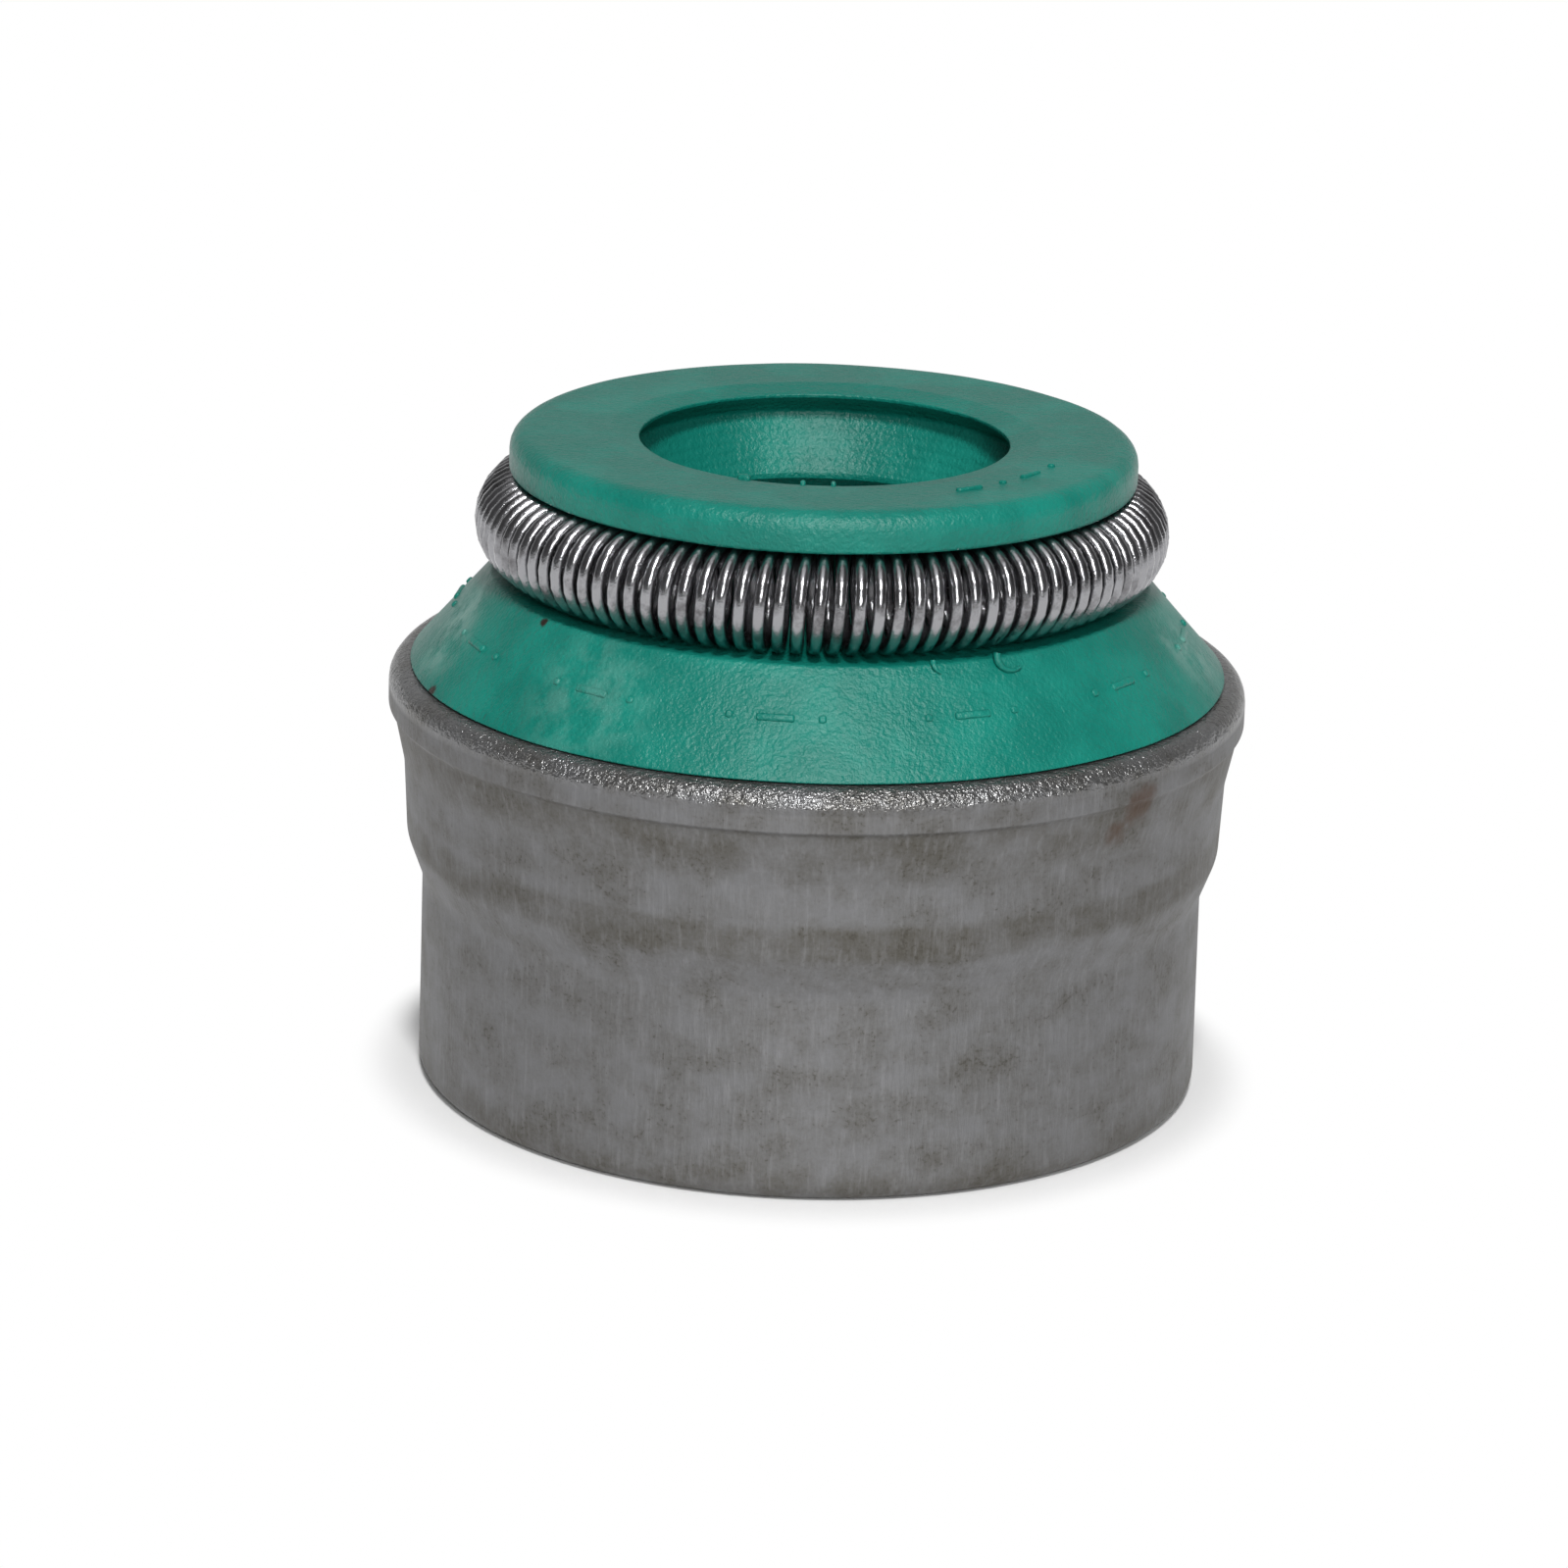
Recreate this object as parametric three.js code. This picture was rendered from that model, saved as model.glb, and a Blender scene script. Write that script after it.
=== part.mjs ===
// Valve stem seal: a drawn steel case, a rubber body bonded into it and over its top flange, and a closely
// wound garter spring in the rubber's groove. The case is pressed over the end of a valve guide, up to the
// rubber's stop face, and the rubber's lip wipes the valve stem that slides in the guide.
// Millimetres, +Z up the bore, with the origin on the bore's axis in the plane of the base ring.

import * as THREE from 'three';

// What the seal fits
const guideDiameter = 11;
const stemDiameter = 6;
const liningGrip = 0.05;
const lipGrip = 0.12;

// Steel case, from the base ring up
const caseWall = 0.6;
const skirtHeight = 3.48;
const skirtFlare = 0.04;
const shoulderRise = 0.73;
const shoulderStep = 0.27;
const collarRise = 1.26;
const collarStep = 0.06;
const rimRise = 0.97;
const rimStep = 0.27;
const rimLand = 0.35;
const rimCorner = 0.34;
const flangeReach = 1.65;
const baseCorner = 0.16;

// Rubber inside the case
const liningThickness = 0.55;
const liningLift = 0.5;
const leadInHeight = 0.5;
const leadInDepth = 0.3;
const stopPad = 0.25;
const stopPadReach = 0.65;
const bondLine = 0.02;

// Rubber above the case: cone, spring groove and head
const coneRise = 1.57;
const coneShelf = 0.56;
const coneEdgeFillet = 0.1;
const springSeatGap = 0.03;
const neckWall = 1.17;
const headOverhang = 0.29;
const headThickness = 0.68;
const headFillet = 0.33;
const headEdgeFillet = 0.07;

// Mouth, wiping wall and lip
const throatClearance = 0.085;
const mouthBevel = 0.5;
const mouthBevelDrop = 0.09;
const mouthEdge = 0.06;
const undercutReach = 0.36;
const undercutDrop = 0.3;
const undercutBand = 0.15;
const lipWallReach = 0.5;
const lipWallHeight = 0.82;
const lipLand = 0.1;
const chamberInset = 0.15;
const chamberDrop = 0.2;
const chamberFoot = 0.45;

// Garter spring
const coilDiameter = 1.72;
const wireDiameter = 0.23;
const turnSpacing = 1.02;
const nibTurns = 3;
const nibTaperTurns = 2;
const nibClearance = 0.12;
const nibAngle = Math.PI / 2;

// How finely round shapes are divided
const lathSegments = 56;
const filletSteps = 3;
const grooveSteps = 9;
const stepsPerTurn = 8;
const wireSides = 5;

// Radii, all worked out from the stem, the guide and the walls around them
const lipRadius = stemDiameter / 2 - lipGrip;
const throatRadius = stemDiameter / 2 + throatClearance;
const mouthRadius = throatRadius + mouthBevel;
const neckRadius = lipRadius + neckWall;
const coilRadius = coilDiameter / 2;
const grooveRadius = coilRadius + springSeatGap;
const springRadius = neckRadius + grooveRadius;
const headRadius = springRadius + headOverhang;
const liningRadius = guideDiameter / 2 - liningGrip;
const skirtRadius = liningRadius + liningThickness + caseWall;
const shoulderRadius = skirtRadius + shoulderStep;
const collarRadius = shoulderRadius + collarStep;
const rimRadius = collarRadius + rimStep;
const flangeRadius = skirtRadius - flangeReach;

// Heights above the base ring
const shoulderZ = skirtHeight + shoulderRise;
const collarZ = shoulderZ + collarRise;
const rimZ = collarZ + rimRise;
const caseTopZ = rimZ + rimLand + rimCorner;
const flangeUnderZ = caseTopZ - caseWall;
const stopZ = flangeUnderZ - stopPad;
const shelfZ = caseTopZ + coneRise;
const springZ = shelfZ + grooveRadius;
const headEdgeZ = springZ + Math.sqrt(grooveRadius ** 2 - headOverhang ** 2);
const topZ = headEdgeZ + headThickness;
const mouthEdgeZ = topZ - mouthBevelDrop - mouthEdge;
const lipWallTopZ = mouthEdgeZ - undercutDrop - undercutBand;

const turns = Math.floor((2 * Math.PI * (springRadius - coilRadius)) / (wireDiameter * turnSpacing));

// A closed outline with its corners rounded: each corner is [distance from the axis, height, fillet radius].
function roundedOutline(corners) {
  const points = corners.map(([r, z]) => new THREE.Vector2(r, z));
  const outline = [];
  corners.forEach(([, , fillet = 0], index) => {
    const corner = points[index];
    if (fillet === 0) {
      outline.push(corner);
      return;
    }
    const back = points.at(index - 1).clone().sub(corner);
    const ahead = points[(index + 1) % points.length].clone().sub(corner);
    const room = 0.48 * Math.min(back.length(), ahead.length());
    back.normalize();
    ahead.normalize();
    const halfAngle = Math.acos(back.dot(ahead)) / 2;
    const reach = Math.min(fillet / Math.tan(halfAngle), room);
    const centre = back.clone().add(ahead).normalize().multiplyScalar(reach / Math.cos(halfAngle)).add(corner);
    const start = back.clone().multiplyScalar(reach).add(corner);
    const end = ahead.clone().multiplyScalar(reach).add(corner);
    const startAngle = start.clone().sub(centre).angle();
    const sweep = end.clone().sub(centre).angle() - startAngle;
    const shortSweep = sweep - 2 * Math.PI * Math.round(sweep / (2 * Math.PI));
    for (let step = 0; step <= filletSteps; step += 1) {
      outline.push(start.clone().rotateAround(centre, (shortSweep * step) / filletSteps));
    }
  });
  return outline;
}

// The part of a circle from one angle to another, as corners of an outline.
function arcCorners(centreR, centreZ, radius, fromAngle, toAngle, steps) {
  return Array.from({ length: steps + 1 }, (_, step) => {
    const angle = fromAngle + ((toAngle - fromAngle) * step) / steps;
    return [centreR + radius * Math.cos(angle), centreZ + radius * Math.sin(angle)];
  });
}

// A ring turned from a closed outline that runs up its outside and down its inside.
function turnedRing(corners) {
  const outline = roundedOutline(corners);
  const geometry = new THREE.LatheGeometry([...outline, outline[0]], lathSegments);
  return geometry.rotateX(Math.PI / 2);
}

// The inner face of the case, from the base ring up to the underside of its flange, moved in by an offset.
function caseInside(offset) {
  const wall = caseWall + offset;
  return [
    [skirtRadius - wall, skirtHeight],
    [shoulderRadius - wall, shoulderZ],
    [collarRadius - wall, collarZ],
    [rimRadius - wall, rimZ],
    [rimRadius - wall, flangeUnderZ - offset],
    [flangeRadius - offset, flangeUnderZ - offset],
  ];
}

function caseOutline() {
  return [
    [skirtRadius + skirtFlare, 0, baseCorner],
    [skirtRadius, skirtHeight],
    [shoulderRadius, shoulderZ],
    [collarRadius, collarZ],
    [rimRadius, rimZ],
    [rimRadius, caseTopZ, rimCorner],
    [flangeRadius, caseTopZ],
    ...caseInside(0).reverse(),
    [skirtRadius - caseWall, 0],
  ];
}

function springGroove() {
  const headAngle = Math.atan2(headEdgeZ - springZ, headOverhang);
  const corners = arcCorners(springRadius, springZ, grooveRadius, 1.5 * Math.PI, headAngle, grooveSteps);
  corners.at(-1).push(headEdgeFillet);
  return corners;
}

function bodyOutline() {
  const stopRadius = flangeRadius - stopPadReach;
  return [
    [rimRadius - rimCorner, caseTopZ + bondLine],
    [springRadius + coneShelf, shelfZ, coneEdgeFillet],
    ...springGroove(),
    [headRadius, topZ, headFillet],
    [mouthRadius, topZ],
    [throatRadius, topZ - mouthBevelDrop],
    [throatRadius, mouthEdgeZ],
    [throatRadius + undercutReach, mouthEdgeZ - undercutDrop],
    [lipRadius + lipWallReach, lipWallTopZ],
    [lipRadius, lipWallTopZ - lipWallHeight],
    [lipRadius, lipWallTopZ - lipWallHeight - lipLand],
    [neckRadius - chamberInset, shelfZ - chamberDrop],
    [stopRadius, caseTopZ + chamberFoot],
    [stopRadius, stopZ],
    [liningRadius, stopZ],
    [liningRadius, liningLift + leadInHeight],
    [liningRadius + leadInDepth, liningLift],
    [skirtRadius - caseWall - bondLine, liningLift],
    ...caseInside(bondLine),
    [flangeRadius - bondLine, caseTopZ + bondLine],
  ];
}

// The wire's centre line: a helix bent into a ring. It starts in a narrow nib that sits inside its own last
// turns, widens to the full coil, and goes once round the seal and over the nib.
class GarterPath extends THREE.Curve {
  constructor() {
    super();
    this.allTurns = turns + nibTurns;
    this.coilCentre = coilRadius - wireDiameter / 2;
    this.nibCentre = this.coilCentre - wireDiameter - nibClearance;
  }

  getPoint(t, target = new THREE.Vector3()) {
    const turn = t * this.allTurns;
    const widened = THREE.MathUtils.smoothstep(turn, nibTurns, nibTurns + nibTaperTurns);
    const wound = THREE.MathUtils.lerp(this.nibCentre, this.coilCentre, widened);
    const around = nibAngle + (2 * Math.PI * turn) / turns;
    const r = springRadius + wound * Math.cos(2 * Math.PI * turn);
    const z = springZ + wound * Math.sin(2 * Math.PI * turn);
    return target.set(r * Math.cos(around), r * Math.sin(around), z);
  }

  // The steps stay even in angle, so that every turn is divided alike.
  getUtoTmapping(u) {
    return u;
  }
}

function garterSpring() {
  const path = new GarterPath();
  const corners = Array.from({ length: wireSides }, (_, side) => {
    const angle = (2 * Math.PI * side) / wireSides;
    return new THREE.Vector2(wireDiameter / 2, 0).rotateAround(new THREE.Vector2(), angle);
  });
  return new THREE.ExtrudeGeometry(new THREE.Shape(corners), {
    extrudePath: path,
    steps: stepsPerTurn * path.allTurns,
    bevelEnabled: false,
  });
}

const steel = new THREE.MeshStandardMaterial({ color: 0x8f908e, roughness: 0.45, metalness: 1 });
const rubber = new THREE.MeshStandardMaterial({ color: 0x1f8273, roughness: 0.5, metalness: 0 });
const springSteel = new THREE.MeshStandardMaterial({ color: 0x9a9c9c, roughness: 0.25, metalness: 1 });

const seal = new THREE.Group();
const pieces = [
  ['steel_case', turnedRing(caseOutline()), steel],
  ['seal_body', turnedRing(bodyOutline()), rubber],
  ['garter_spring', garterSpring(), springSteel],
];
for (const [name, geometry, material] of pieces) {
  const mesh = new THREE.Mesh(geometry, material);
  mesh.name = name;
  seal.add(mesh);
}

export default seal;
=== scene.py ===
"""Valve stem seal: a drawn steel case, a moulded rubber body with its lip, and a wound garter spring."""

import math

import bmesh
import bpy
from bpy.props import FloatProperty, FloatVectorProperty, IntProperty, PointerProperty
from bpy.types import Operator, Panel, PropertyGroup
from mathutils import Matrix, Vector


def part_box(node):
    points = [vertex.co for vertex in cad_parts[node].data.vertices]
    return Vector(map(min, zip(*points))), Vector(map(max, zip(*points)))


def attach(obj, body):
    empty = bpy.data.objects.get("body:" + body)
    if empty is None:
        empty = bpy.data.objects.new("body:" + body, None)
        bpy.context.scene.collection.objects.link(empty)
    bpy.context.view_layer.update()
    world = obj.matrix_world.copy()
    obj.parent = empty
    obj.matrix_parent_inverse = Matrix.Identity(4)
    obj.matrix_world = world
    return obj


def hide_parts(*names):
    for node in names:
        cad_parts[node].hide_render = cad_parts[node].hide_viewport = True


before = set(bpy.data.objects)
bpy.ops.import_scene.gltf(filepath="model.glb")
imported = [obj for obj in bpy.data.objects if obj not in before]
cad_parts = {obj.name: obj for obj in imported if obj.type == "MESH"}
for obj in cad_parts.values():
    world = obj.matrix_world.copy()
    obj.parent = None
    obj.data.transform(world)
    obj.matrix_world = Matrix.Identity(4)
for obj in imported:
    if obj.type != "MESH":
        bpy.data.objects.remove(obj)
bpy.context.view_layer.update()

bl_info = {
    "name": "Valve stem seal",
    "version": (1, 0, 0),
    "blender": (4, 5, 0),
    "location": "View3D > Sidebar > Seal",
    "description": "Models a rubber valve stem seal with its steel case and garter spring",
    "category": "Object",
}

MM = 0.001
CASE_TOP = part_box("steel_case")[1]
BODY_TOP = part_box("seal_body")[1]
SPRING_LOW, SPRING_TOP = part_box("garter_spring")
SPRING_HEIGHT = (SPRING_LOW.z + SPRING_TOP.z) / 2

# How finely the pieces are divided
OUTLINE_STEP = 0.22 * MM
CASE_SEGMENTS = 256
BODY_SEGMENTS = 240
GROOVE_STEPS = 18
STEPS_PER_TURN = 22

# Moulded marks without a meaning: azimuths in degrees, widths in millimetres
CONE_GROUPS = 12
FIRST_GROUP = 24
GROUP_MARKS = ((-7, 0.13), (0, 0.62), (7, 0.13))
TOP_MARKS = ((35, 0.5), (45, 0.12), (55, 0.5), (65, 0.12))
MOUTH_NUBS = ((-24, 0.22), (-6, 0.09), (3, 0.08))

# Threads of moulding flash: the thickness, then azimuths in degrees with radii and heights, in millimetres
CURL = (0.13, (31, 5.55, 8.78), (30.5, 5.62, 8.62), (31.5, 5.68, 8.5), (33.5, 5.72, 8.46), (35, 5.68, 8.56))
STUB = (0.1, (19.5, 5.5, 8.74), (19.3, 5.56, 8.68), (19.5, 5.6, 8.64), (20, 5.62, 8.6), (20.4, 5.63, 8.58))

# Rust on the rim: azimuth in degrees, height and reach in millimetres
RUST_SPOTS = ((47.5, 6.36, 0.42), (44.0, 5.93, 0.3))

# Talc on the cone, mixed with painted sheen where the flanks turn away: azimuth in degrees, radius, height
# and reach in millimetres, strength
TALC_AND_SHEEN_SMEARS = (
    (-81.0, 5.9, 8.2, 0.75, 0.6),
    (-75.0, 6.3, 7.75, 0.8, 0.55),
    (80.0, 6.3, 7.8, 0.85, 0.5),
    (76.0, 6.05, 8.1, 0.5, 0.35),
    (-36.0, 6.2, 7.9, 1.3, 0.22),
)

# Dark specks on the rubber: azimuth in degrees, radius, height and reach in millimetres
DARK_SPECKS = ((-53.5, 5.56, 8.66, 0.09), (-68.0, 6.82, 7.19, 0.12))

# Lamps: azimuth and elevation in degrees, distance and size in metres, watts
LAMPS = {
    "key_lamp": (4, 54, 0.45, 0.065, 1.5),
    "front_lamp": (6, 24, 0.45, 0.12, 0.9),
    "top_lamp": (-20, 78, 0.4, 0.3, 0.2),
}


def length(name, description, millimetres):
    """A length property, with its default given in millimetres."""
    return FloatProperty(
        name=name, description=description, default=millimetres * MM, unit="LENGTH", precision=5
    )


def tint(name, description, colour):
    """A colour property."""
    return FloatVectorProperty(
        name=name, description=description, default=colour, size=3, min=0, max=1, subtype="COLOR"
    )


class CaseSizes(PropertyGroup):
    """Sizes of the drawn steel case."""

    wall: length("Wall", "Thickness of the drawn sheet", 0.6)
    rim_radius: length("Rim radius", "Widest radius of the case", CASE_TOP.x / MM)
    height: length("Height", "Height of the flange above the base ring", CASE_TOP.z / MM)
    rim_corner: length("Rim corner", "Radius of the corner between rim and flange", 0.34)
    rim_land: length("Rim land", "Height of the straight band under the rim's corner", 0.35)
    land_step: length("Land step", "How far the land's lower edge stands out from the flare", 0.08)
    rim_step: length("Rim step", "How far the rim stands out from the collar", 0.27)
    rim_rise: length("Rim rise", "Height over which the collar widens to the rim", 0.97)
    collar_step: length("Collar step", "How much the collar widens upwards", 0.06)
    collar_rise: length("Collar rise", "Height of the collar", 1.26)
    shoulder_step: length("Shoulder step", "How far the collar stands out from the skirt", 0.27)
    shoulder_rise: length("Shoulder rise", "Height of the taper between skirt and collar", 0.73)
    skirt_flare: length("Skirt flare", "How much the skirt widens at the base ring", 0.04)
    base_corner: length("Base corner", "Radius of the outer corner at the base ring", 0.3)
    flange_reach: length("Flange reach", "How far the flange reaches in from the skirt", 1.65)


class BodySizes(PropertyGroup):
    """Sizes of the moulded rubber body."""

    top: length("Top", "Height of the top face above the base ring", BODY_TOP.z / MM)
    bond_line: length("Bond line", "Thickness of the bond between rubber and steel", 0.02)
    cone_top_radius: length("Cone top radius", "Radius of the cone's upper edge", 5.5)
    head_radius: length("Head radius", "Radius of the head above the spring", 5.23)
    head_fillet: length("Head fillet", "Radius of the head's upper edge", 0.33)
    groove_radius: length("Groove radius", "Radius of the groove that holds the spring", 0.89)
    groove_centre: length("Groove centre", "Radius of the spring's centre line", 4.94)
    throat_radius: length("Throat radius", "Radius of the mouth's narrow edge", 3.085)
    mouth_bevel: length("Mouth bevel", "Width of the shallow bevel round the throat", 0.5)
    mouth_drop: length("Mouth drop", "Height of the shallow bevel round the throat", 0.09)
    mouth_edge: length("Mouth edge", "Thickness of the throat's edge", 0.06)
    lip_radius: length("Lip radius", "Free radius of the lip that wipes the stem", 2.88)
    lining_radius: length("Lining radius", "Free radius of the lining that grips the guide", 5.45)
    lining_lift: length("Lining lift", "Height of the lining's lower edge", 0.5)
    undercut_reach: length("Undercut reach", "Depth of the undercut behind the mouth's edge", 0.36)
    undercut_drop: length("Undercut drop", "Height of the undercut's slope", 0.3)
    wall_reach: length("Wall reach", "How far the lip's wall starts out from the lip", 0.5)
    wall_drop: length("Wall drop", "Top of the lip's wall below the mouth's edge", 0.45)
    wall_height: length("Wall height", "Height of the lip's wall", 0.82)
    lip_land: length("Lip land", "Height of the lip's narrow land", 0.1)
    chamber_inset: length("Chamber inset", "Rubber between the chamber and the spring's groove", 0.15)
    chamber_drop: length("Chamber drop", "Top of the chamber below the groove's shelf", 0.2)
    chamber_foot: length("Chamber foot", "Foot of the chamber's cone above the flange", 0.45)
    stop_pad: length("Stop pad", "Rubber between the flange and the guide's end", 0.25)
    stop_reach: length("Stop reach", "How far the stop reaches in past the flange", 0.65)
    lead_in_height: length("Lead-in height", "Height of the lining's lead-in", 0.5)
    lead_in_depth: length("Lead-in depth", "Depth of the lining's lead-in", 0.3)
    mark_height: length("Mark height", "How far the moulded marks stand out", 0.05)
    mark_width: length("Mark width", "Width of a line in the moulded marks", 0.13)
    top_mark_radius: length("Top mark radius", "Where the marks on the top face sit", 4.1)


class SpringSizes(PropertyGroup):
    """Sizes of the garter spring."""

    coil_diameter: length("Coil diameter", "Outer diameter of the coil", 1.72)
    wire_diameter: length("Wire diameter", "Diameter of the spring wire", 0.23)
    turns: IntProperty(name="Turns", description="Turns once round the seal", default=112)
    nib_turns: IntProperty(name="Nib turns", description="Turns of the nib inside the coil", default=3)
    nib_diameter: length("Nib diameter", "Outer diameter of the nib's coil", 1.02)
    joint_azimuth: FloatProperty(
        name="Joint azimuth", description="Where the nib starts", default=math.pi / 2, unit="ROTATION"
    )


class FinishColours(PropertyGroup):
    """Colours of the seal's materials."""

    steel: tint("Steel", "Bare drawn steel", (0.205, 0.206, 0.211))
    # This colour paints real storage stains and also painted shade at the foot, on the shoulder and under
    # the rim
    steel_stain_and_shade: tint("Steel stain and shade", "Warm storage stains and painted shade on the steel", (0.1, 0.093, 0.078))
    rust: tint("Rust", "Small rust marks", (0.09, 0.05, 0.03))
    rubber: tint("Rubber", "Moulded rubber", (0.003, 0.15, 0.115))
    rubber_pale: tint("Pale rubber", "Lighter flow patches in the rubber", (0.006, 0.195, 0.15))
    # This colour paints dried talc and also painted sheen on the cone's flanks
    powder_and_sheen: tint("Powder and sheen", "Dried talc and painted sheen on the cone", (0.2, 0.36, 0.32))
    wire: tint("Wire", "Bright spring wire", (0.36, 0.36, 0.375))
    wire_film: tint("Wire film", "Dark oil film on the wire", (0.085, 0.08, 0.083))


class StageSizes(PropertyGroup):
    """Where the camera stands and how it looks at the seal."""

    elevation: FloatProperty(
        name="Elevation",
        description="Camera above the horizon",
        default=math.radians(17.29),
        unit="ROTATION",
    )
    roll: FloatProperty(
        name="Roll",
        description="Turn of the camera about its view",
        default=math.radians(1.78),
        unit="ROTATION",
    )
    distance: length("Distance", "Camera to the middle of the seal", 99.2)
    middle: length("Middle", "Height of the seal's middle in the view", 5.47)
    aim_left: length("Aim left", "How far left of the axis the camera aims", 0.52)
    aim_down: length("Aim down", "How far under the middle the camera aims", 0.455)
    lens: FloatProperty(name="Lens", description="Focal length for a 36 mm sensor", default=134.6)


class Signal:
    """A socket's value, which adds Math nodes when it is used in an expression."""

    def __init__(self, finish, socket):
        self.finish = finish
        self.socket = socket

    def math(self, operation, *values):
        return self.finish.node("ShaderNodeMath", {"operation": operation}, values)

    def root(self):
        return self.math("SQRT", self)

    def sine(self):
        return self.math("SINE", self)

    def __add__(self, other):
        return self.math("ADD", self, other)

    def __sub__(self, other):
        return self.math("SUBTRACT", self, other)

    def __rsub__(self, other):
        return self.math("SUBTRACT", other, self)

    def __mul__(self, other):
        return self.math("MULTIPLY", self, other)

    __radd__ = __add__
    __rmul__ = __mul__


class Finish:
    """A material or world whose nodes are all added by one method."""

    def __init__(self, owner):
        owner.use_nodes = True
        self.tree = owner.node_tree
        self.tree.nodes.clear()

    def node(self, kind, settings, inputs, output=0):
        """Adds a node: its settings first, then the values or links of its sockets."""
        made = self.tree.nodes.new(kind)
        for key, value in settings.items():
            setattr(made, key, value)
        named = inputs.items() if isinstance(inputs, dict) else enumerate(inputs)
        for key, value in named:
            if isinstance(value, Signal):
                self.tree.links.new(value.socket, made.inputs[key])
            else:
                made.inputs[key].default_value = value
        return Signal(self, made.outputs[output]) if made.outputs else None

    def seen(self):
        """Whether the camera sees a thing directly, and whether it sees it in a mirror or through glass."""
        outputs = self.node("ShaderNodeLightPath", {}, {}).socket.node.outputs
        rays = [Signal(self, outputs[f"Is {kind} Ray"]) for kind in ("Camera", "Glossy", "Transmission")]
        directly, mirror, glass = rays
        return directly, mirror.math("MAXIMUM", mirror, glass)

    def place(self):
        """Object coordinates in millimetres."""
        metres = self.node("ShaderNodeTexCoord", {}, {}, "Object")
        return self.scaled(metres, (1 / MM, 1 / MM, 1 / MM))

    def scaled(self, vector, factors):
        return self.node("ShaderNodeVectorMath", {"operation": "MULTIPLY"}, (vector, factors))

    def distance(self, vector, point):
        return self.node("ShaderNodeVectorMath", {"operation": "DISTANCE"}, (vector, point), "Value")

    def split(self, vector):
        parts = self.node("ShaderNodeSeparateXYZ", {}, (vector,))
        return [Signal(self, socket) for socket in parts.socket.node.outputs]

    def noise(self, vector, scale, detail=3.0, roughness=0.5):
        inputs = {"Vector": vector, "Scale": scale, "Detail": detail, "Roughness": roughness}
        return self.node("ShaderNodeTexNoise", {}, inputs)

    def smooth(self, value, low, high):
        """0 at low and 1 at high, with a soft change between them."""
        settings = {"interpolation_type": "SMOOTHSTEP"}
        return self.node("ShaderNodeMapRange", settings, {"Value": value, "From Min": low, "From Max": high})

    def mix(self, factor, low, high):
        """A colour between two colours."""
        opaque = [value if isinstance(value, Signal) else (*value, 1) for value in (low, high)]
        inputs = {0: factor, 6: opaque[0], 7: opaque[1]}
        return self.node("ShaderNodeMix", {"data_type": "RGBA"}, inputs, 2)

    def bump(self, height, depth, normal=None):
        """A normal from a height of 0 to 1 and its real depth in metres."""
        inputs = {"Strength": 1.0, "Distance": depth, "Height": height}
        if normal:
            inputs["Normal"] = normal
        return self.node("ShaderNodeBump", {}, inputs)

    def surface(self, **inputs):
        """The material's shader; a name's underscores stand for its spaces."""
        named = {name.replace("_", " "): value for name, value in inputs.items()}
        shader = self.node("ShaderNodeBsdfPrincipled", {}, named)
        self.node("ShaderNodeOutputMaterial", {}, {"Surface": shader})


def on_ring(azimuth, radius, height):
    """A point at an azimuth in degrees from the front towards the right, in the unit of its lengths."""
    turn = math.radians(azimuth)
    return Vector((radius * math.sin(turn), -radius * math.cos(turn), height))


def drawn_steel(colours):
    """Dull bare steel with vertical drawing marks, storage stains, painted shade at the foot, on the
    shoulder and under the rim, and a pitted bright rim corner.
    """
    material = bpy.data.materials.new("drawn_steel")
    finish = Finish(material)
    place = finish.place()
    height = finish.split(place)[2]
    grain = finish.noise(finish.scaled(place, (1, 1, 0.16)), 11.0, 4.0, 0.6)
    mottle = finish.noise(finish.scaled(place, (1, 1, 1.4)), 1.1, 5.0, 0.6)
    speckle = finish.noise(place, 16.0, 2.0, 0.5)
    # Painted shade: the next three masks darken the steel towards the base ring as a contact shadow, on the
    # shoulder's taper and just under the rim's land
    foot = 1 - finish.smooth(height, 0.1, 0.9)
    painted_shoulder_shade = finish.smooth(height, 4.0, 4.3) * (1 - finish.smooth(height, 4.65, 4.85))
    painted_shade_under_rim = finish.smooth(height, 5.3, 6.2) * (1 - finish.smooth(height, 6.38, 6.46))
    stains_and_painted_shade = finish.smooth(mottle + speckle * 0.25 + (foot + painted_shoulder_shade + painted_shade_under_rim) * 0.18, 0.38, 1.1)
    # The stain colour paints the real storage stains of the mottle and speckle together with the painted
    # shade
    colour = finish.mix(stains_and_painted_shade, colours.steel, colours.steel_stain_and_shade)
    colour = finish.mix(finish.smooth(grain, 0.45, 0.8) * 0.35, colour, (0.32, 0.32, 0.33))
    dark_spots = finish.smooth(speckle * 0.6 + mottle * 0.4, 0.58, 0.68) * 0.5
    colour = finish.mix(dark_spots, colour, (0.07, 0.065, 0.055))
    for azimuth, spot_height, reach in RUST_SPOTS:
        spot = finish.distance(place, on_ring(azimuth, 7.15, spot_height))
        ragged = spot + finish.noise(place, 3.0) * 0.5
        colour = finish.mix((1 - finish.smooth(ragged, reach, reach + 0.3)) * 0.7, colour, colours.rust)
    corner = finish.smooth(height, 6.72, 6.86)
    pits = finish.noise(place, 9.0, 2.0, 0.7)
    rough = 0.5 + grain * 0.12 - corner * 0.27
    normal = finish.bump(grain, 0.02 * MM)
    normal = finish.bump(mottle, 0.03 * MM, normal)
    normal = finish.bump(pits * corner, 0.07 * MM, normal)
    finish.surface(Base_Color=colour, Metallic=0.8, Roughness=rough, Normal=normal)
    return material


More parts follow.
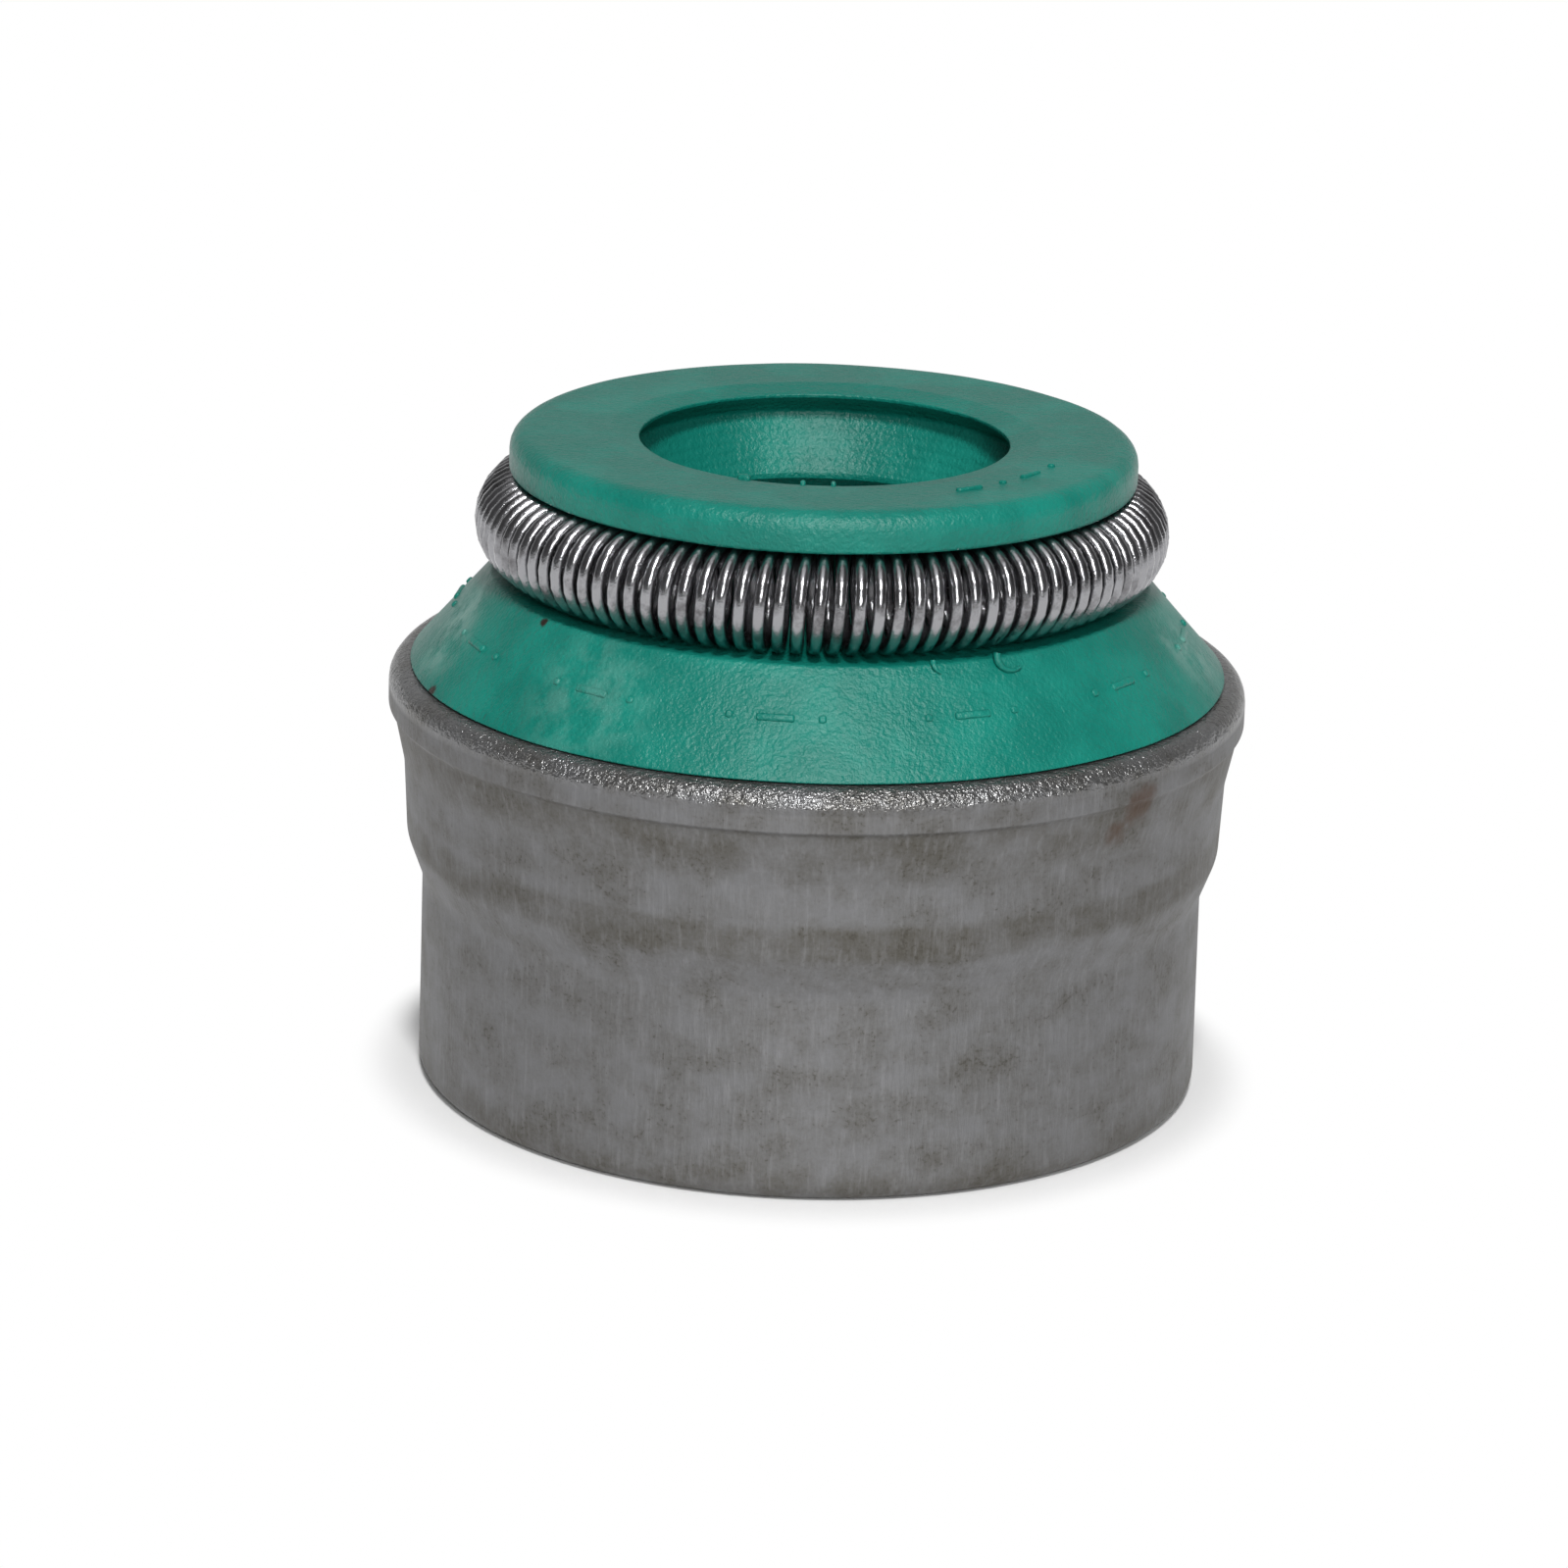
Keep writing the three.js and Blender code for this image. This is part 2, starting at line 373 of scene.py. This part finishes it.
def moulded_rubber(colours):
    """Satin green rubber with a fine mould grain, flow patches, dried talc mixed with painted sheen on the
    cone's flanks, and rings in the lip's wall.
    """
    material = bpy.data.materials.new("moulded_rubber")
    finish = Finish(material)
    place = finish.place()
    x, y, height = finish.split(place)
    radius = (x * x + y * y).root()
    patches = finish.noise(place, 0.7, 4.0, 0.55)
    grain = finish.noise(place, 13.0, 3.0, 0.55)
    colour = finish.mix(finish.smooth(patches, 0.4, 0.68), colours.rubber, colours.rubber_pale)
    talc_and_sheen_noise = finish.noise(place, 2.2, 5.0, 0.65)
    # Painted sheen and talc: the whitish smears by the cone's left and right flanks paint the sheen where
    # the surface turns away, along with dried talc
    for azimuth, ring_radius, spot_height, reach, strength in TALC_AND_SHEEN_SMEARS:
        spot = finish.distance(place, on_ring(azimuth, ring_radius, spot_height))
        near = 1 - finish.smooth(spot, reach * 0.2, reach * 1.3)
        colour = finish.mix(near * finish.smooth(talc_and_sheen_noise, 0.38, 0.62) * strength, colour, colours.powder_and_sheen)
    for azimuth, ring_radius, spot_height, reach in DARK_SPECKS:
        spot = finish.distance(place, on_ring(azimuth, ring_radius, spot_height)) + grain * 0.08
        colour = finish.mix(1 - finish.smooth(spot, reach, reach + 0.07), colour, (0.02, 0.012, 0.008))
    wall = (1 - finish.smooth(radius, 3.42, 3.5)) * finish.smooth(height, 9.6, 9.7)
    rings = (height * 40.0).sine() * wall
    rough = 0.26 + grain * 0.1 + patches * 0.12
    normal = finish.bump(grain, 0.03 * MM)
    normal = finish.bump(finish.noise(place, 2.4, 3.0), 0.03 * MM, normal)
    normal = finish.bump(rings, 0.003 * MM, normal)
    finish.surface(Base_Color=colour, Roughness=rough, Normal=normal, Specular_IOR_Level=0.3)
    return material


def spring_wire(colours):
    """Bright drawn wire with a thin oil film in places."""
    material = bpy.data.materials.new("spring_wire")
    finish = Finish(material)
    place = finish.place()
    film = finish.smooth(finish.noise(place, 1.6, 5.0, 0.65), 0.45, 0.7)
    scratches = finish.noise(place, 22.0, 3.0, 0.6)
    colour = finish.mix(film * 0.75, colours.wire, colours.wire_film)
    rough = 0.14 + scratches * 0.14 + film * 0.05
    normal = finish.bump(scratches, 0.004 * MM)
    finish.surface(Base_Color=colour, Metallic=1.0, Roughness=rough, Normal=normal)
    return material


def deselect_all():
    if bpy.context.mode != "OBJECT":
        bpy.ops.object.mode_set(mode="OBJECT")
    bpy.ops.object.select_all(action="DESELECT")


def rounded(corners, steps=6):
    """Rounds the corners of a closed outline. Each is (distance from the axis, height, fillet radius)."""
    points = [Vector((r, z)) for r, z, _ in corners]
    outline = []
    for index, corner in enumerate(points):
        fillet = corners[index][2]
        if not fillet:
            outline.append(corner)
            continue
        back = points[index - 1] - corner
        ahead = points[(index + 1) % len(points)] - corner
        room = 0.48 * min(back.length, ahead.length)
        half_angle = back.angle(ahead) / 2
        back.normalize()
        ahead.normalize()
        reach = min(fillet / math.tan(half_angle), room)
        centre = corner + (back + ahead).normalized() * reach / math.cos(half_angle)
        radius = reach * math.tan(half_angle)
        start = (corner + back * reach - centre) / radius
        end = (corner + ahead * reach - centre) / radius
        outline += [centre + start.slerp(end, step / steps) * radius for step in range(steps + 1)]
    return outline


def refined(outline, longest):
    """Divides the long sides of a closed outline."""
    fine = []
    for here, there in zip(outline, outline[1:] + outline[:1]):
        pieces = max(1, math.ceil((there - here).length / longest))
        fine += [here.lerp(there, piece / pieces) for piece in range(pieces)]
    return fine


def turned_ring(name, corners, segments):
    """Draws an outline by extruding a vertex from point to point, closes it and spins it round the bore."""
    outline = [Vector((p.x, 0, p.y)) for p in refined(rounded(corners), OUTLINE_STEP)]
    deselect_all()
    bpy.ops.mesh.primitive_plane_add(size=MM, enter_editmode=True)
    ring = bpy.context.object
    ring.name = name
    bpy.ops.mesh.merge(type="CENTER")
    bpy.ops.transform.translate(value=outline[0])
    for here, there in zip(outline, outline[1:]):
        bpy.ops.mesh.extrude_region_move(TRANSFORM_OT_translate={"value": there - here})
    drawn = bmesh.from_edit_mesh(ring.data)
    for vertex in drawn.verts:
        vertex.select_set(len(vertex.link_edges) == 1)
    drawn.select_flush_mode()
    bpy.ops.mesh.edge_face_add()
    bpy.ops.mesh.select_all(action="SELECT")
    bpy.ops.mesh.spin(steps=segments, angle=math.tau, center=(0, 0, 0), axis=(0, 0, 1))
    bpy.ops.mesh.select_all(action="SELECT")
    bpy.ops.mesh.remove_doubles(threshold=0.001 * MM)
    bpy.ops.mesh.normals_make_consistent(inside=False)
    bpy.ops.object.mode_set(mode="OBJECT")
    bpy.ops.object.shade_smooth_by_angle(angle=math.radians(35))
    return ring


def case_bends(case):
    """The case's bends as (outer radius, height), from the skirt's upper end to the rim."""
    rim_z = case.height - case.rim_corner - case.rim_land
    collar_z = rim_z - case.rim_rise
    shoulder_z = collar_z - case.collar_rise
    skirt_z = shoulder_z - case.shoulder_rise
    collar = case.rim_radius - case.rim_step
    shoulder = collar - case.collar_step
    skirt = shoulder - case.shoulder_step
    return (skirt, skirt_z), (shoulder, shoulder_z), (collar, collar_z), (case.rim_radius, rim_z)


def under_case(case, gap):
    """The case's inner side from the skirt to the underside of the flange, moved in by a gap."""
    *bends, (rim, rim_z) = case_bends(case)
    wall = case.wall + gap
    corners = [(radius - wall, height, 0.5 * MM) for radius, height in bends]
    return corners + [(rim - wall, rim_z, 0), (rim - wall, case.height - wall, 0.1 * MM)]


def case_corners(case):
    """The case's outline: up its outside, in over the flange and down its inside."""
    skirt, shoulder, collar, (rim, rim_z) = case_bends(case)
    flange = skirt[0] - case.flange_reach
    return [
        (skirt[0] + case.skirt_flare, 0, case.base_corner),
        (*skirt, 0.9 * MM),
        (*shoulder, 0.7 * MM),
        (*collar, 1.2 * MM),
        (rim - case.land_step, rim_z - case.land_step, 0.12 * MM),
        (rim, rim_z, 0.05 * MM),
        (rim, case.height, case.rim_corner),
        (flange, case.height, 0.05 * MM),
        (flange, case.height - case.wall, 0.05 * MM),
        *reversed(under_case(case, 0)),
        (skirt[0] - case.wall, 0, 0.06 * MM),
    ]


def groove_corners(body):
    """The round groove under the head, from its seat on the cone's shelf up to the head's lower edge."""
    start = math.radians(270)
    end = math.acos((body.head_radius - body.groove_centre) / body.groove_radius)
    corners = []
    for step in range(GROOVE_STEPS + 1):
        angle = start + (end - start) * step / GROOVE_STEPS
        arm = Vector((math.cos(angle), math.sin(angle))) * body.groove_radius
        corners.append((body.groove_centre + arm.x, SPRING_HEIGHT + arm.y, 0))
    corners[-1] = (*corners[-1][:2], 0.07 * MM)
    return corners


def body_corners(body, case):
    """The rubber's outline: up the cone, round the groove and head, down the bore and up inside the case."""
    bond = body.bond_line
    (skirt, _), *_ = case_bends(case)
    flange = skirt - case.flange_reach
    under_z = case.height - case.wall
    stop_z = under_z - body.stop_pad
    stop = flange - body.stop_reach
    shelf_z = SPRING_HEIGHT - body.groove_radius
    edge_z = body.top - body.mouth_drop - body.mouth_edge
    wall_z = edge_z - body.wall_drop
    lip_z = wall_z - body.wall_height
    neck = body.groove_centre - body.groove_radius
    return [
        (case.rim_radius - case.rim_corner, case.height + bond, 0.02 * MM),
        (body.cone_top_radius, shelf_z, 0.1 * MM),
        *groove_corners(body),
        (body.head_radius, body.top, body.head_fillet),
        (body.throat_radius + body.mouth_bevel, body.top, 0.12 * MM),
        (body.throat_radius, body.top - body.mouth_drop, 0.03 * MM),
        (body.throat_radius, edge_z, 0.02 * MM),
        (body.throat_radius + body.undercut_reach, edge_z - body.undercut_drop, 0.12 * MM),
        (body.lip_radius + body.wall_reach, wall_z, 0.08 * MM),
        (body.lip_radius, lip_z, 0.04 * MM),
        (body.lip_radius, lip_z - body.lip_land, 0.04 * MM),
        (neck - body.chamber_inset, shelf_z - body.chamber_drop, 0.4 * MM),
        (stop, case.height + body.chamber_foot, 0.3 * MM),
        (stop, stop_z, 0.08 * MM),
        (body.lining_radius, stop_z, 0.12 * MM),
        (body.lining_radius, body.lining_lift + body.lead_in_height, 0.3 * MM),
        (body.lining_radius + body.lead_in_depth, body.lining_lift, 0.08 * MM),
        (skirt - case.wall - bond, body.lining_lift, 0.05 * MM),
        *under_case(case, bond),
        (flange - bond, under_z - bond, 0.05 * MM),
        (flange - bond, case.height + bond, 0.05 * MM),
    ]


def uneven(piece, size, depth):
    """Gives a ring the slight unevenness of a moulded or drawn surface."""
    cloud = bpy.data.textures.new(piece.name + "_unevenness", "CLOUDS")
    cloud.noise_scale = size
    push = piece.modifiers.new("unevenness", "DISPLACE")
    push.texture = cloud
    push.texture_coords = "LOCAL"
    push.strength = depth
    bpy.context.view_layer.objects.active = piece
    bpy.ops.object.modifier_apply(modifier=push.name)


def cone_seat(body, case, azimuth, share):
    """Where a moulded mark sits on the cone, from its foot at 0 to its upper edge at 1."""
    foot = Vector((case.rim_radius - case.rim_corner, case.height))
    head = Vector((body.cone_top_radius, SPRING_HEIGHT - body.groove_radius))
    place = foot.lerp(head, share)
    slope = (head - foot).normalized()
    across = Vector((math.cos(math.radians(azimuth)), math.sin(math.radians(azimuth)), 0))
    up = on_ring(azimuth, slope.x, slope.y)
    seat = Matrix((across, up, across.cross(up))).transposed().to_4x4()
    seat.translation = on_ring(azimuth, place.x, place.y)
    return seat


def raised_dash(width, height, stand_out, seat):
    """A rounded dash of rubber, moulded onto the surface at its seat."""
    deselect_all()
    bpy.ops.mesh.primitive_cube_add(size=1, scale=(width, height, 2 * stand_out), enter_editmode=True)
    smallest = min(width, height, 2 * stand_out)
    bpy.ops.mesh.bevel(offset=0.45 * smallest, segments=4, affect="EDGES", clamp_overlap=True)
    bpy.ops.object.mode_set(mode="OBJECT")
    dash = bpy.context.object
    dash.matrix_world = seat
    bpy.ops.object.transform_apply()
    bpy.ops.object.shade_smooth()
    return dash


def flat_seat(azimuth, radius, height):
    """Where a mark sits on a level face."""
    seat = Matrix.Rotation(math.radians(azimuth), 4, "Z")
    seat.translation = on_ring(azimuth, radius, height)
    return seat


def moulded_marks(body, case):
    """Raised marks on the cone and the top face, and small nubs on the mouth's front edge."""
    marks = []
    for group in range(CONE_GROUPS):
        middle = FIRST_GROUP + 360 / CONE_GROUPS * group
        for turn, width in GROUP_MARKS:
            seat = cone_seat(body, case, middle + turn, 0.55)
            marks.append(raised_dash(width * MM, body.mark_width, body.mark_height, seat))
    for azimuth, width in TOP_MARKS:
        seat = flat_seat(azimuth, body.top_mark_radius, body.top)
        marks.append(raised_dash(width * MM, 0.12 * MM, body.mark_height, seat))
    for azimuth, width in MOUTH_NUBS:
        seat = flat_seat(azimuth, body.throat_radius + 0.06 * MM, body.top - body.mouth_drop)
        marks.append(raised_dash(width * MM, 0.1 * MM, 0.09 * MM, seat))
    return marks


def rubber_thread(thickness, *route):
    """A stray thread of moulding flash along five points."""
    deselect_all()
    bpy.ops.curve.primitive_nurbs_path_add()
    thread = bpy.context.object
    line = thread.data.splines[0]
    line.use_endpoint_u = True
    for control, (azimuth, radius, height), fullness in zip(line.points, route, (1.0, 1.0, 0.8, 0.6, 0.35)):
        control.co = (*on_ring(azimuth, radius * MM, height * MM), 1)
        control.radius = fullness
    thread.data.bevel_depth = thickness * MM / 2
    thread.data.bevel_resolution = 2
    thread.data.use_fill_caps = True
    bpy.ops.object.convert(target="MESH")
    thread = bpy.context.object
    bpy.ops.object.shade_smooth()
    return thread


def finished(piece, material, node):
    """Gives a piece its material and puts it in the place of its solid."""
    piece.data.materials.clear()
    piece.data.materials.append(material)
    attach(piece, "root")
    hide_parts(node)


class SEAL_OT_steel_case(Operator):
    """Turns the drawn steel case"""

    bl_idname = "seal.steel_case"
    bl_label = "Steel case"

    def execute(self, context):
        scene = context.scene
        ring = turned_ring("steel_case_drawn", case_corners(scene.seal_case), CASE_SEGMENTS)
        uneven(ring, 3.0 * MM, 0.012 * MM)
        finished(ring, drawn_steel(scene.seal_colours), "steel_case")
        return {"FINISHED"}


class SEAL_OT_rubber_body(Operator):
    """Turns the rubber body and adds its moulded marks and flash"""

    bl_idname = "seal.rubber_body"
    bl_label = "Rubber body"

    def execute(self, context):
        body = context.scene.seal_body
        case = context.scene.seal_case
        ring = turned_ring("seal_body_moulded", body_corners(body, case), BODY_SEGMENTS)
        uneven(ring, 2.5 * MM, 0.03 * MM)
        extras = moulded_marks(body, case) + [rubber_thread(*CURL), rubber_thread(*STUB)]
        deselect_all()
        for piece in (*extras, ring):
            piece.select_set(True)
        context.view_layer.objects.active = ring
        bpy.ops.object.join()
        finished(ring, moulded_rubber(context.scene.seal_colours), "seal_body")
        return {"FINISHED"}


class SEAL_OT_garter_spring(Operator):
    """Winds the garter spring, with its nib inside its last turns"""

    bl_idname = "seal.garter_spring"
    bl_label = "Garter spring"

    def execute(self, context):
        spring = context.scene.seal_spring
        centre = context.scene.seal_body.groove_centre
        coil = (spring.coil_diameter - spring.wire_diameter) / 2
        nib = (spring.nib_diameter - spring.wire_diameter) / 2
        deselect_all()
        bpy.ops.curve.primitive_nurbs_path_add()
        wire = context.object
        wire.data.splines.clear()
        line = wire.data.splines.new("POLY")
        line.points.add(STEPS_PER_TURN * (spring.turns + spring.nib_turns))
        for index, point in enumerate(line.points):
            turn = index / STEPS_PER_TURN
            widened = min(max((turn - spring.nib_turns) / 2, 0), 1)
            wound = nib + (coil - nib) * widened * widened * (3 - 2 * widened)
            around = spring.joint_azimuth + math.tau * turn / spring.turns
            radius = centre + wound * math.cos(math.tau * turn)
            height = SPRING_HEIGHT + wound * math.sin(math.tau * turn)
            point.co = (radius * math.cos(around), radius * math.sin(around), height, 1)
        wire.data.bevel_depth = spring.wire_diameter / 2
        wire.data.bevel_resolution = 3
        wire.data.use_fill_caps = True
        bpy.ops.object.convert(target="MESH")
        wire = context.object
        wire.name = "garter_spring_wound"
        bpy.ops.object.shade_smooth()
        finished(wire, spring_wire(context.scene.seal_colours), "garter_spring")
        return {"FINISHED"}


def lamp(name, azimuth, elevation, distance, size, power):
    """A square soft lamp that faces the seal."""
    away = on_ring(azimuth, math.cos(math.radians(elevation)), math.sin(math.radians(elevation)))
    turn = away.to_track_quat("Z", "Y").to_euler()
    bpy.ops.object.light_add(type="AREA", location=away * distance, rotation=turn)
    made = bpy.context.object
    made.name = name
    made.data.size = size
    made.data.energy = power


class SEAL_OT_stage(Operator):
    """Sets up the floor, the lamps, the white surroundings and the camera"""

    bl_idname = "seal.stage"
    bl_label = "Stage"

    def execute(self, context):
        self.floor()
        self.surroundings(context.scene)
        for name, settings in LAMPS.items():
            lamp(name, *settings)
        self.camera(context.scene)
        return {"FINISHED"}

    def floor(self):
        deselect_all()
        bpy.ops.mesh.primitive_plane_add(size=4)
        floor = bpy.context.object
        floor.name = "floor"
        material = bpy.data.materials.new("white_floor")
        finish = Finish(material)
        directly, mirrored = finish.seen()
        x, y, _ = finish.split(finish.place())
        radius = (x * x + y * y).root()
        past_shadow = finish.smooth(radius, 6.75, 7.8)
        paper = finish.node("ShaderNodeBsdfDiffuse", {}, {"Color": (0.8, 0.8, 0.8, 1)})
        glow = finish.node("ShaderNodeEmission", {}, {"Color": (1, 1, 1, 1), "Strength": 1.0})
        shown = finish.node("ShaderNodeMixShader", {}, ((directly + mirrored) * past_shadow, paper, glow))
        finish.node("ShaderNodeOutputMaterial", {}, {"Surface": shown})
        floor.data.materials.append(material)

    def surroundings(self, scene):
        scene.world = bpy.data.worlds.new("white_room")
        finish = Finish(scene.world)
        facing = finish.node("ShaderNodeTexCoord", {}, {}, "Generated")
        behind = finish.smooth(finish.split(facing)[1], 0.2, 1.0)
        directly, mirrored = finish.seen()
        strength = 0.1 + directly * 0.9 + mirrored * behind * 0.4
        light = finish.node("ShaderNodeBackground", {}, {"Color": (1, 1, 1, 1), "Strength": strength})
        finish.node("ShaderNodeOutputWorld", {}, {"Surface": light})

    def camera(self, scene):
        stage = scene.seal_stage
        back = Vector((0, -math.cos(stage.elevation), math.sin(stage.elevation)))
        right = Vector((1, 0, 0))
        above = back.cross(right)
        view_right = right * math.cos(stage.roll) + above * math.sin(stage.roll)
        view_up = above * math.cos(stage.roll) - right * math.sin(stage.roll)
        middle = Vector((0, 0, stage.middle))
        eye = middle + back * stage.distance
        aim = middle - view_right * stage.aim_left - view_up * stage.aim_down
        depth = (eye - aim).normalized()
        side = view_up.cross(depth).normalized()
        turn = Matrix((side, depth.cross(side), depth)).transposed()
        bpy.ops.object.camera_add(location=eye, rotation=turn.to_euler())
        camera = bpy.context.object
        camera.data.lens = stage.lens
        camera.data.sensor_width = 36
        camera.data.clip_start = 0.005
        scene.camera = camera
        scene.view_settings.view_transform = "Standard"


class SEAL_PT_panel(Panel):
    """Lists the seal's pieces and its stage"""

    bl_label = "Valve stem seal"
    bl_idname = "SEAL_PT_panel"
    bl_space_type = "VIEW_3D"
    bl_region_type = "UI"
    bl_category = "Seal"

    def draw(self, context):
        for group in ("seal_case", "seal_body", "seal_spring", "seal_colours", "seal_stage"):
            settings = getattr(context.scene, group)
            for name in settings.__annotations__:
                self.layout.prop(settings, name)
        for operator in OPERATORS:
            self.layout.operator(operator.bl_idname)


SETTINGS = {
    "seal_case": CaseSizes,
    "seal_body": BodySizes,
    "seal_spring": SpringSizes,
    "seal_colours": FinishColours,
    "seal_stage": StageSizes,
}
OPERATORS = (SEAL_OT_steel_case, SEAL_OT_rubber_body, SEAL_OT_garter_spring, SEAL_OT_stage)


def register():
    for name, group in SETTINGS.items():
        bpy.utils.register_class(group)
        setattr(bpy.types.Scene, name, PointerProperty(type=group))
    for made in (*OPERATORS, SEAL_PT_panel):
        bpy.utils.register_class(made)


def unregister():
    for made in (SEAL_PT_panel, *OPERATORS):
        bpy.utils.unregister_class(made)
    for name, group in SETTINGS.items():
        delattr(bpy.types.Scene, name)
        bpy.utils.unregister_class(group)


def main():
    register()
    bpy.ops.seal.steel_case()
    bpy.ops.seal.rubber_body()
    bpy.ops.seal.garter_spring()
    bpy.ops.seal.stage()


if __name__ == "__main__":
    main()
